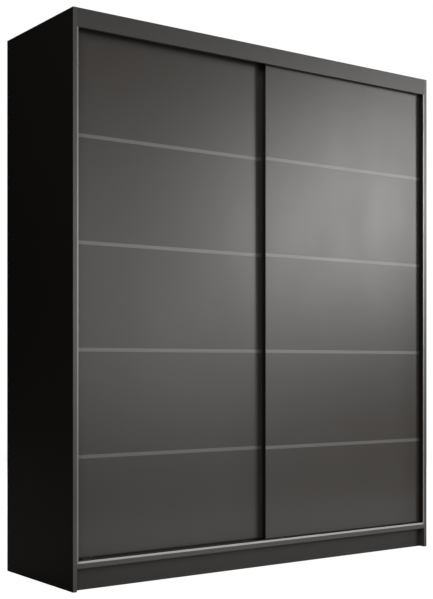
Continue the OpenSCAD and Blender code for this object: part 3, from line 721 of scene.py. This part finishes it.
def island_centres(node: str) -> list[Vector]:
    """The centres of a node's separate solids, from left to right and from the bottom up.

    Args:
        node: The CAD node.

    Returns:
        The centre of each solid's box.
    """
    bm = bmesh.new()
    bm.from_mesh(frame["nodes"][node].data)
    bmesh.ops.remove_doubles(bm, verts=bm.verts, dist=MERGE)
    left, centres = set(bm.verts), []
    while left:
        front, solid = [left.pop()], []
        while front:
            vert = front.pop()
            solid.append(vert.co.copy())
            near = [e.other_vert(vert) for e in vert.link_edges]
            fresh = [v for v in near if v in left]
            left.difference_update(fresh)
            front.extend(fresh)
        low = Vector([min(p[i] for p in solid) for i in range(3)])
        high = Vector([max(p[i] for p in solid) for i in range(3)])
        centres.append((low + high) / 2)
    bm.free()
    return sorted(centres, key=lambda c: (round(c.x, 4), round(c.z, 4), round(c.y, 4)))


@dataclass
class Tracks:
    """Both tracks with their screws and stops, and the closing strips beside the doors."""

    metal_ease: float = 0.25 * MM
    strip_ease: float = 0.5 * MM
    stop_ease: float = 0.8 * MM

    def build(self) -> list[bpy.types.Object]:
        """Make the tracks, strips, screws and stops."""
        inward = {Side.LEFT: 1, Side.RIGHT: -1}
        # The inner faces of the strips take the black profile finish, which here is painted shade.
        strips = [Eased(f"{side.value}_closing_strip", STRIP, self.strip_ease,
                        other=(BLACK_PROFILE_AND_PAINTED_SHADE, Axis.X, sign)) for side, sign in inward.items()]
        return [
            Eased("upper_track", TRACK, self.metal_ease).make(),
            # The lower track is black: painted shade under the doors.
            Eased("lower_track", LOWER_TRACK_PAINTED_SHADE, self.metal_ease).make(),
            Eased("track_lip", LIP, self.metal_ease).make(),
            *[strip.make() for strip in strips],
            screws("track_screws"),
            Eased("track_stops", BLACK_NYLON, self.stop_ease).make(),
        ]


@dataclass
class Interior:
    """Shelves, hat shelf, hanging rail and what holds them.

    Attributes:
        shelf_ease: How far the shelves' edges are softened, and so on for the next two.
        pin_radius: A shelf pin's radius.
        pin_steps: Facets round a pin.
    """

    shelf_ease: float = 0.5 * MM
    rail_ease: float = 0.3 * MM
    socket_ease: float = 0.5 * MM
    pin_radius: float = 2.5 * MM
    pin_steps: int = 24

    def build(self) -> list[bpy.types.Object]:
        """Make the shelves, the rail with its sockets and screws, and the pins."""
        hidden = [(Axis.Y, 1), (Axis.X, 1), (Axis.X, -1)]
        shelves = sorted(n for n in frame["nodes"] if n.startswith("shelf_") and n != "shelf_pins")
        return [
            *[Eased(node, INSIDE, self.shelf_ease, CORE, hidden).make()
              for node in [*shelves, "hat_shelf"]],
            Eased("hanging_rail", CHROME, self.rail_ease).make(),
            Eased("rail_sockets", CHROME, self.socket_ease, segments=3).make(),
            screws("rail_socket_screws"),
            self._pins(),
        ]

    def _pins(self) -> bpy.types.Object:
        """Turn the shelf pins, each with a groove and a rounded nose."""
        bm = bmesh.new()
        centres = island_centres("shelf_pins")
        low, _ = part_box("shelf_pins")
        radius, half = self.pin_radius, centres[0].x - low.x
        outline = [(0.0, -half), (radius - 0.4 * MM, -half), (radius, -half + 0.4 * MM),
                   (radius, -0.4 * MM), (radius - 0.3 * MM, 0.0), (radius, 0.4 * MM),
                   (radius, half - 1.2 * MM), (radius * 0.8, half - 0.4 * MM),
                   (radius * 0.45, half - 0.06 * MM), (0.0, half)]
        for centre in centres:
            lathe(bm, outline, centre, Axis.X.vector * self._towards(centre.x), self.pin_steps)
        return finish_piece("shelf_pins_piece", bm, "carcass", [ZINC], ["shelf_pins"])

    @staticmethod
    def _towards(x: float) -> float:
        """The way that a pin at x points: out of its panel and into its compartment."""
        _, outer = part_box("right_side_panel")
        return 1.0 if x < math.copysign(outer.x / 2, x) else -1.0


@dataclass
class Joinery:
    """The fittings inside the joints, and the angle brackets for the wall."""

    cam_ease: float = 0.15 * MM
    bolt_ease: float = 0.1 * MM
    bracket_ease: float = 0.4 * MM

    def build(self) -> list[bpy.types.Object]:
        """Make the dowels, cams, bolts, brackets and their screws."""
        return [
            Eased("dowels", BEECH, 0.0).make(),
            Eased("cam_locks", ZINC, self.cam_ease, segments=1).make(),
            Eased("cam_bolts", ZINC, self.bolt_ease, segments=1).make(),
            Eased("wall_brackets", ZINC, self.bracket_ease).make(),
            screws("wall_bracket_screws"),
        ]


@dataclass
class SlidingDoor:
    """One sliding door with its bands, inlays, roller gear and guides.

    Attributes:
        side: Which door it is.
        board_ease: How far the board's edges are softened, and so on for the next five.
        groove: The radius at the bottom of a wheel's groove.
        bearing: The outer radius of its bearing.
        bore: The radius of the hole that its axle goes through.
        race: How wide each of the bearing's two rings is.
        wheel_steps: Facets round a wheel.
        bearing_steps: Facets round a bearing.
        spokes: Pockets in a wheel's web, on each side.
        pocket_share: Where a pocket starts and ends, as shares of the way to the next one.
        pocket_zone: The radii between which the pockets lie.
        pocket_rim: The width of a pocket's sloping rim.
        pocket_depth: How deep a pocket is.
    """

    side: Side
    board_ease: float = 0.15 * MM
    band_ease: float = 0.5 * MM
    inlay_ease: float = 0.2 * MM
    housing_ease: float = 0.5 * MM
    axle_ease: float = 0.3 * MM
    guide_ease: float = 0.8 * MM
    groove: float = 11.5 * MM
    bearing: float = 6.0 * MM
    bore: float = 2.55 * MM
    race: float = 1.0 * MM
    wheel_steps: int = 72
    bearing_steps: int = 48
    spokes: int = 6
    pocket_share: tuple[float, float] = (0.2, 0.8)
    pocket_zone: tuple[float, float] = (7.2 * MM, 10.2 * MM)
    pocket_rim: float = 0.25 * MM
    pocket_depth: float = 0.9 * MM

    def build(self) -> list[bpy.types.Object]:
        """Make the door and everything that moves with it."""
        made = [
            Eased(self._node("board"), DOOR, self.board_ease, CORE).make(),
            # The edge bands are near black: painted shade.
            Eased(self._node("edge_bands"), DOOR_BAND_PAINTED_SHADE, self.band_ease).make(),
            Eased(self._node("inlays"), INLAY, self.inlay_ease).make(),
            Eased(self._node("roller_housings"), BLACK_NYLON, self.housing_ease).make(),
            Eased(self._node("roller_axles"), ZINC, self.axle_ease).make(),
            screws(self._node("roller_screws")),
            Eased(self._node("top_guides"), BLACK_NYLON, self.guide_ease).make(),
            screws(self._node("guide_screws")),
        ]
        for place in ("outer", "inner"):
            made += self._wheel(place)
        return made

    def _node(self, piece: str) -> str:
        """The CAD node of one of this door's pieces."""
        return f"{self.side.value}_door_{piece}"

    def _wheel(self, place: str) -> list[bpy.types.Object]:
        """Turn a grooved wheel with a ball bearing and pockets in its web.

        Args:
            place: "outer" or "inner".

        Returns:
            The tyre and the bearing.
        """
        node = self._node(f"{place}_wheel")
        body = f"{self.side.value}_{place}_wheel"
        low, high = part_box(node)
        middle, half = (low + high) / 2, (high.y - low.y) / 2
        radius = (high.z - low.z) / 2
        bearing, groove = self.bearing, self.groove
        lips = [(radius - 0.5 * MM, -half), (radius - 0.1 * MM, 0.3 * MM - half),
                (radius, 0.7 * MM - half), (radius - 0.1 * MM, 1.1 * MM - half),
                (groove + 0.2 * MM, 1.45 * MM - half), (groove, 1.7 * MM - half)]
        web = [(bearing, 0.6 * MM - half), (bearing + 0.5 * MM, -half),
               (bearing + 1.0 * MM, -half),
               (radius - 3.6 * MM, -half), (radius - 3.1 * MM, -half)]
        side = web + lips
        outline = side + [(r, -h) for r, h in reversed(side)]
        bm = bmesh.new()
        lathe(bm, [*outline, outline[0]], middle, Axis.Y.vector, self.wheel_steps)
        self._pockets(bm, middle, half)
        # The tyres are darkened grey: painted shade.
        tyre = finish_piece(f"{node}_tyre", bm, body, [WHEEL_NYLON_PAINTED_SHADE], [node])
        return [tyre, self._bearing(f"{node}_bearing", body, middle, half)]

    def _pockets(self, bm: bmesh.types.BMesh, middle: Vector, half: float) -> None:
        """Press pockets between the spokes, on both sides of the web."""
        near, far = self.pocket_zone
        for sign in (-1.0, 1.0):
            web = [f for f in bm.faces if f.normal.y * sign > SQUARE_ON
                   and near < self._radius(f, middle) < far]
            for spoke in range(self.spokes):
                start, stop = [math.tau * (spoke + share) / self.spokes
                               for share in self.pocket_share]
                faces = [f for f in web if self._between(f, middle, start, stop)]
                bmesh.ops.inset_region(bm, faces=faces, thickness=self.pocket_rim,
                                       use_even_offset=True)
                verts = list({v for f in faces for v in f.verts})
                press = Vector((0.0, -sign * self.pocket_depth, 0.0))
                bmesh.ops.translate(bm, verts=verts, vec=press)

    @staticmethod
    def _radius(face: bmesh.types.BMFace, middle: Vector) -> float:
        """How far a face's centre is from the wheel's axis."""
        offset = face.calc_center_median() - middle
        return math.hypot(offset.x, offset.z)

    @staticmethod
    def _between(face: bmesh.types.BMFace, middle: Vector, start: float, stop: float) -> bool:
        """Whether a face's centre lies between two angles round the wheel's axis."""
        offset = face.calc_center_median() - middle
        return start < math.atan2(offset.z, offset.x) % math.tau < stop

    def _bearing(self, name: str, body: str, middle: Vector, half: float) -> bpy.types.Object:
        """Turn the bearing: two races with a shield between them."""
        bore, outer, race = self.bore, self.bearing, self.race
        face = half - 0.3 * MM
        shield = face - 0.35 * MM
        side = [(bore, -face), (bore + race - 0.1 * MM, -face), (bore + race, -shield),
                (outer - race, -shield), (outer - race + 0.1 * MM, -face), (outer, -face)]
        outline = side + [(r, -h) for r, h in reversed(side)]
        bm = bmesh.new()
        lathe(bm, [*outline, outline[0]], middle, Axis.Y.vector, self.bearing_steps)
        return finish_piece(name, bm, body, [ZINC])


@dataclass
class OverlapSeal:
    """The profile behind the front door's inner edge, with its brush and screws.

    Attributes:
        profile_ease: How far the profile's edges are softened.
        backing: Thickness of the strip that holds the brush's tufts.
        tuft_pitch: Distance between two tufts.
        tuft_root: A tuft's radius at the strip.
        tuft_tip: Its radius at the tip.
        tuft_sides: Facets round a tuft.
        tuft_spread: How much a tuft fans out along the strip.
        tuft_lean: How far a tuft may stand from its even place.
        seed: Start of the random lean of the tufts.
    """

    profile_ease: float = 0.3 * MM
    backing: float = 3.0 * MM
    tuft_pitch: float = 5.0 * MM
    tuft_root: float = 0.6 * MM
    tuft_tip: float = 0.95 * MM
    tuft_sides: int = 6
    tuft_spread: float = 2.4
    tuft_lean: float = 0.4 * MM
    seed: int = 7

    def build(self) -> list[bpy.types.Object]:
        """Make the profile, the brush and the screws."""
        return [
            Eased("overlap_profile", BLACK_PROFILE_AND_PAINTED_SHADE, self.profile_ease).make(),
            screws("profile_screws"),
            self._brush(),
        ]

    def _brush(self) -> bpy.types.Object:
        """Set tufts in a backing strip, all along the door."""
        low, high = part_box("overlap_brush")
        draw = random.Random(self.seed)
        bm = bmesh.new()
        strip = bmesh.ops.create_cube(bm, size=1.0)["verts"]
        size = Vector((high.x - low.x, self.backing, high.z - low.z))
        centre = Vector(((low.x + high.x) / 2, low.y + self.backing / 2, (low.z + high.z) / 2))
        bmesh.ops.scale(bm, verts=strip, vec=size)
        bmesh.ops.translate(bm, verts=strip, vec=centre)
        reach = high.y - low.y - self.backing
        turn = Matrix.Rotation(math.radians(-90.0), 3, "X")
        fan = Vector((1.0, 1.0, self.tuft_spread))
        for i in range(int((high.z - low.z) / self.tuft_pitch)):
            tuft = bmesh.ops.create_cone(bm, cap_ends=True, segments=self.tuft_sides,
                                         radius1=self.tuft_root, radius2=self.tuft_tip,
                                         depth=reach)["verts"]
            bmesh.ops.rotate(bm, verts=tuft, matrix=turn)
            bmesh.ops.scale(bm, verts=tuft, vec=fan)
            lean = draw.uniform(-self.tuft_lean, self.tuft_lean)
            z = low.z + (i + 0.5) * self.tuft_pitch + lean
            spot = Vector((centre.x, low.y + self.backing + reach / 2, z))
            bmesh.ops.translate(bm, verts=tuft, vec=spot)
        return finish_piece("overlap_brush_piece", bm, "right_door", [PILE], ["overlap_brush"])


# ---------------------------------------------------------------- studio


@dataclass
class Softbox:
    """A soft area light that faces a point.

    Attributes:
        name: The light's name.
        spot: Where it stands.
        aim: What it faces.
        size: Its width and height.
        power: Its power in watts.
        colour: Its colour.
    """

    name: str
    spot: tuple[float, float, float]
    aim: tuple[float, float, float]
    size: tuple[float, float]
    power: float
    colour: Colour = (1.0, 0.99, 0.975)

    def place(self) -> bpy.types.Object:
        """Put the light in the scene."""
        lamp = bpy.data.lights.new(self.name, "AREA")
        lamp.shape = "RECTANGLE"
        lamp.size, lamp.size_y = self.size
        lamp.energy = self.power
        lamp.color = self.colour
        made = bpy.data.objects.new(self.name, lamp)
        made.visible_camera = False
        made.location = self.spot
        way = Vector(self.aim) - Vector(self.spot)
        made.rotation_euler = way.to_track_quat("-Z", "Y").to_euler()
        bpy.context.scene.collection.objects.link(made)
        return made


@dataclass
class Studio:
    """A plain pale floor, soft lights, a white surround and the camera.

    Attributes:
        floor_radius: The floor's radius.
        floor_fade: Where the floor starts and ends to fade out, as shares of its radius.
        floor_steps: Straight stretches round its rim.
        floor_colour: Its own colour, which is what it throws back.
        floor_glow: How bright it looks by itself, so that it stays pale without lighting anything.
        lens: The camera's focal length in millimetres.
        sensor: The width of its sensor in millimetres.
        eye: Where the camera stands.
        turn: How far it is turned to the right.
        shift: How far its view is shifted, as shares of the frame.
        boxes: The lights.
    """

    floor_radius: float = 9.0
    floor_fade: tuple[float, float] = (0.3, 0.85)
    floor_steps: int = 96
    floor_colour: Colour = (0.28, 0.28, 0.28)
    floor_glow: float = 0.9
    lens: float = 69.8
    sensor: float = 36.0
    eye: tuple[float, float, float] = (-2.872, -4.145, 0.832)
    turn: float = math.radians(37.67)
    shift: tuple[float, float] = (-0.1227, 0.1107)
    boxes: tuple[Softbox, ...] = (
        Softbox("high_right", (4.8, -4.3, 2.95), (0.76, 0.0, 1.1), (1.3, 1.4), 48.0),
        Softbox("middle_right", (3.75, -4.3, 2.07), (0.55, 0.0, 1.1), (1.3, 1.2), 86.0),
        Softbox("far_right", (6.0, -1.5, 1.5), (0.5, -0.26, 1.3), (1.2, 1.2), 65.0),
        Softbox("low_front", (2.2, -4.3, 0.9), (0.24, 0.0, 1.1), (1.3, 0.7), 14.0),
        Softbox("middle_front", (0.9, -4.3, 1.5), (0.0, 0.0, 1.1), (1.3, 1.9), 17.0),
        Softbox("left_front", (-3.5, -4.0, 3.5), (0.0, 0.0, 1.4), (2.0, 2.0), 130.0),
        Softbox("left", (-4.0, 0.2, 3.2), (-0.9, 0.0, 1.6), (1.5, 1.5), 28.0),
        Softbox("foot", (0.4, -0.85, 0.06), (0.4, -0.26, 0.22), (2.2, 0.08), 1.1),
        Softbox("back", (0.4, 4.6, 2.7), (0.0, 0.3, 1.0), (2.6, 2.0), 190.0),
        Softbox("right_side", (4.4, 1.6, 2.4), (0.9, 0.0, 1.1), (2.0, 2.0), 90.0),
    )

    def build(self) -> None:
        """Lay the floor, hang the lights and set up the camera."""
        self._floor()
        self._surround()
        for box in self.boxes:
            box.place()
        self._camera()

    def _floor(self) -> None:
        """Lay a round floor that fades into the white surround at its rim."""
        bm = bmesh.new()
        bmesh.ops.create_circle(bm, cap_ends=True, segments=self.floor_steps,
                                radius=self.floor_radius)
        mesh = bpy.data.meshes.new("floor")
        bm.to_mesh(mesh)
        bm.free()
        material = bpy.data.materials.new("floor_paint")
        material.use_nodes = True
        bench = Bench(material.node_tree)
        away = bench.node("ShaderNodeVectorMath", {"operation": "LENGTH"}, {0: bench.place()},
                          "Value")
        start, stop = [share * self.floor_radius for share in self.floor_fade]
        grain = bench.noise(60.0, detail=3.0)
        seen = bench.node("ShaderNodeLightPath", output="Is Camera Ray")
        glow = bench.mix(seen, (0.0,) * 3, (self.floor_glow,) * 3)
        bench.shade(
            Base_Color=bench.mix(grain, shaded(self.floor_colour, 0.985), self.floor_colour),
            Roughness=0.75,
            Specular_IOR_Level=0.2,
            Emission_Color=glow,
            Emission_Strength=1.0,
            Alpha=1 - away.ramp(start, stop),
        )
        mesh.materials.append(material)
        floor = bpy.data.objects.new("floor", mesh)
        bpy.context.scene.collection.objects.link(floor)

    def _surround(self) -> None:
        """Show a white surround, which lights nothing."""
        world = bpy.data.worlds.new("surround")
        world.use_nodes = True
        bench = Bench(world.node_tree)
        seen = bench.node("ShaderNodeLightPath", output="Is Camera Ray")
        shine = bench.node("ShaderNodeBackground", None,
                           {"Color": (1.0, 1.0, 1.0, 1.0), "Strength": seen})
        bench.node("ShaderNodeOutputWorld", None, {"Surface": shine})
        bpy.context.scene.world = world
        bpy.context.scene.view_settings.view_transform = "Standard"

    def _camera(self) -> None:
        """Stand the camera level at the height of a table, to the left of the doors."""
        lens = bpy.data.cameras.new("camera")
        lens.lens = self.lens
        lens.sensor_width = self.sensor
        lens.shift_x, lens.shift_y = self.shift
        camera = bpy.data.objects.new("camera", lens)
        camera.location = self.eye
        camera.rotation_euler = (math.radians(90.0), 0.0, -self.turn)
        bpy.context.scene.collection.objects.link(camera)
        bpy.context.scene.camera = camera


def main() -> None:
    """Build the wardrobe around its frame and light it."""
    logging.basicConfig(level=logging.INFO, format="%(name)s: %(message)s")
    assemblies = [Carcass(), Tracks(), Interior(), Joinery(), OverlapSeal(),
                  *[SlidingDoor(side) for side in Side]]
    for assembly in assemblies:
        made = assembly.build()
        LOG.info("%s: %d pieces", type(assembly).__name__, len(made))
    Studio().build()
    bpy.context.view_layer.update()


if __name__ == "__main__":
    main()
